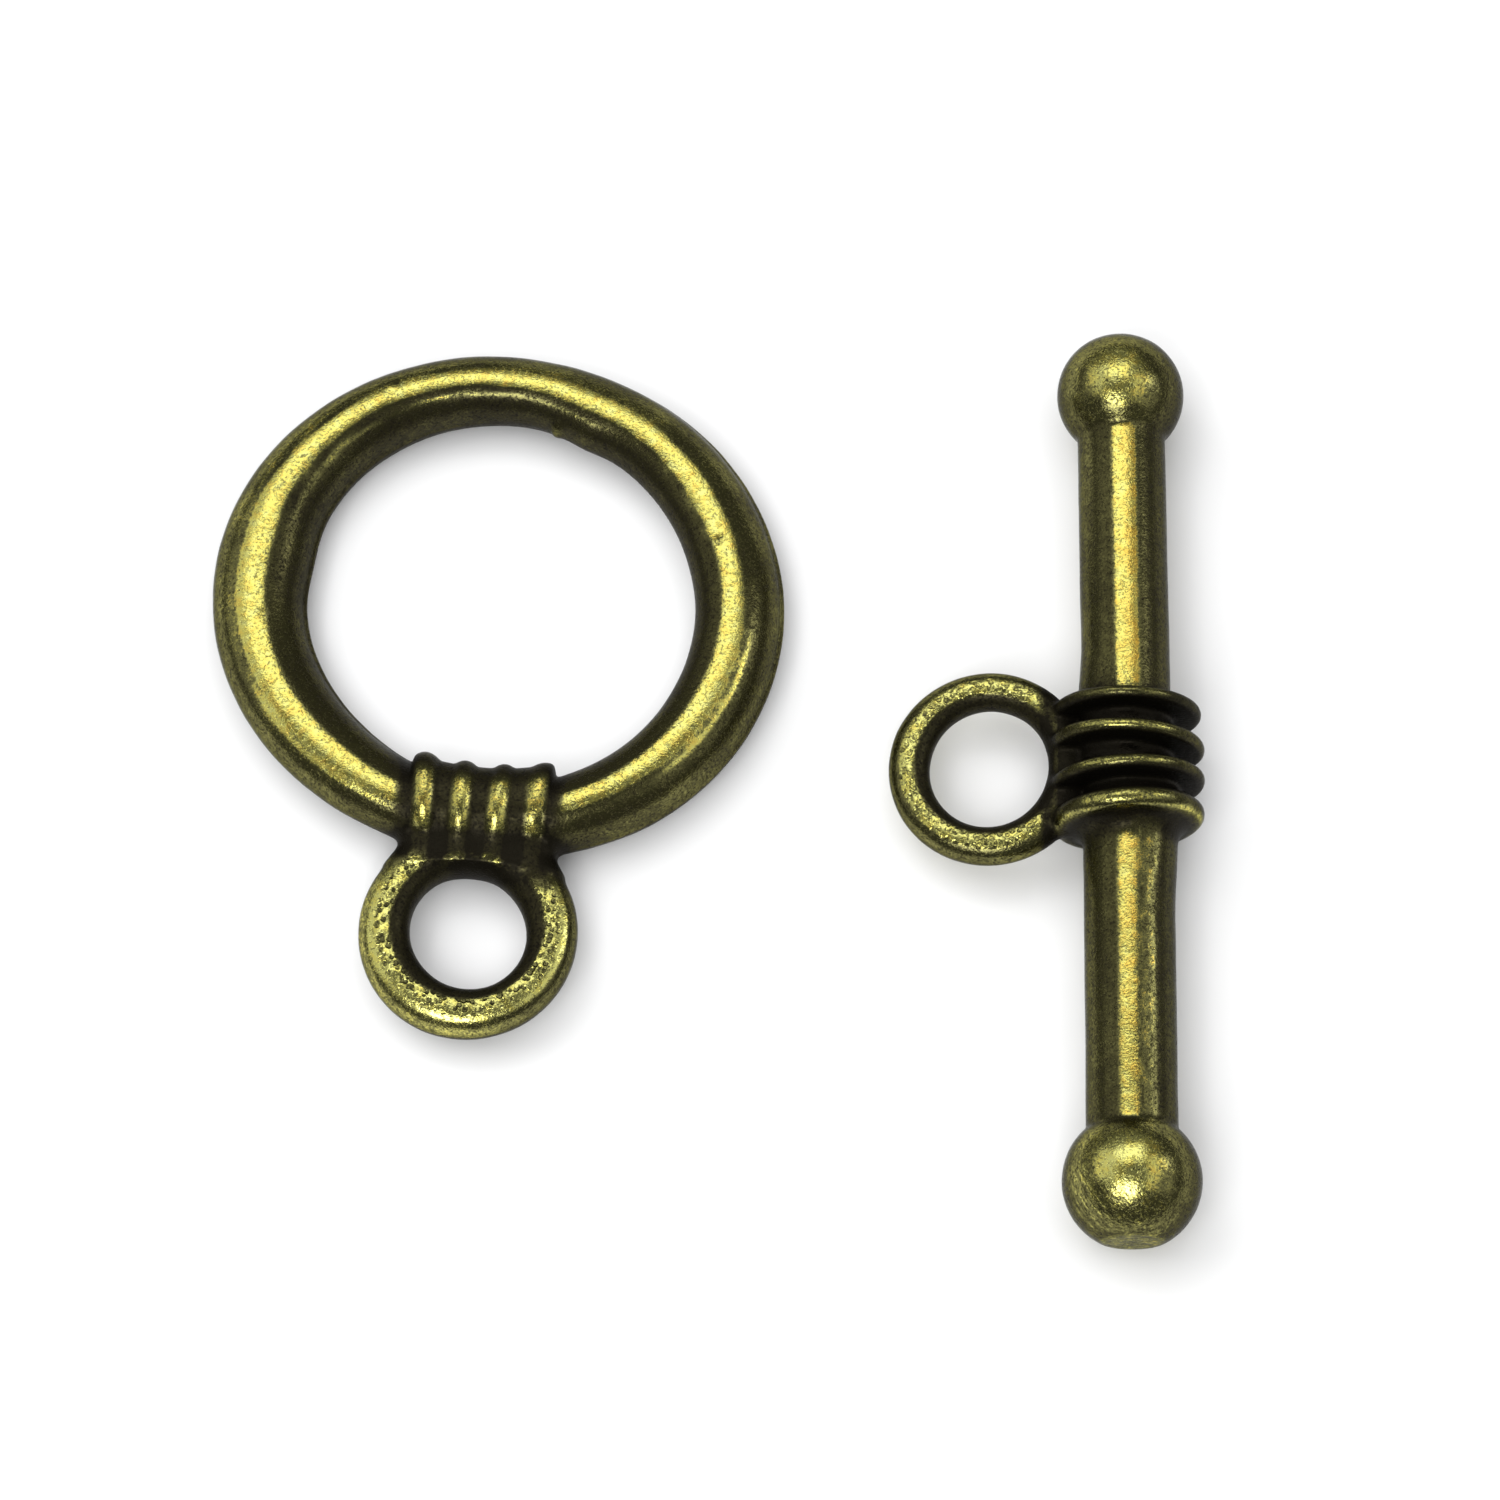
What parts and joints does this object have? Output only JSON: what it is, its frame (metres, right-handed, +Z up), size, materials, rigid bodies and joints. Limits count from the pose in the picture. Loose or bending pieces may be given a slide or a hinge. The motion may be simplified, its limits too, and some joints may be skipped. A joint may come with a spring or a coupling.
{
  "type": "toggle clasp",
  "caption": "Toggle clasp in antique bronze, two loose halves: a ring with a ribbed collar and an eye, and a bar with balls, ribs and an eye.",
  "frame": {"origin": "on the surface that both halves lie on, under the middle of the box around both", "axes": "+Z up from the surface, +Y along the bar towards its far ball, +X from the ring to the bar"},
  "size_m": [0.0262, 0.0252, 0.004],
  "materials": {
    "antique_bronze": "antique bronze: near-black brown patina in the grooves, worn to yellow brass on the crowns, satin"
  },
  "bodies": {
    "root": {"toggle_ring": "antique_bronze", "toggle_bar": "antique_bronze"}
  },
  "joints": []
}
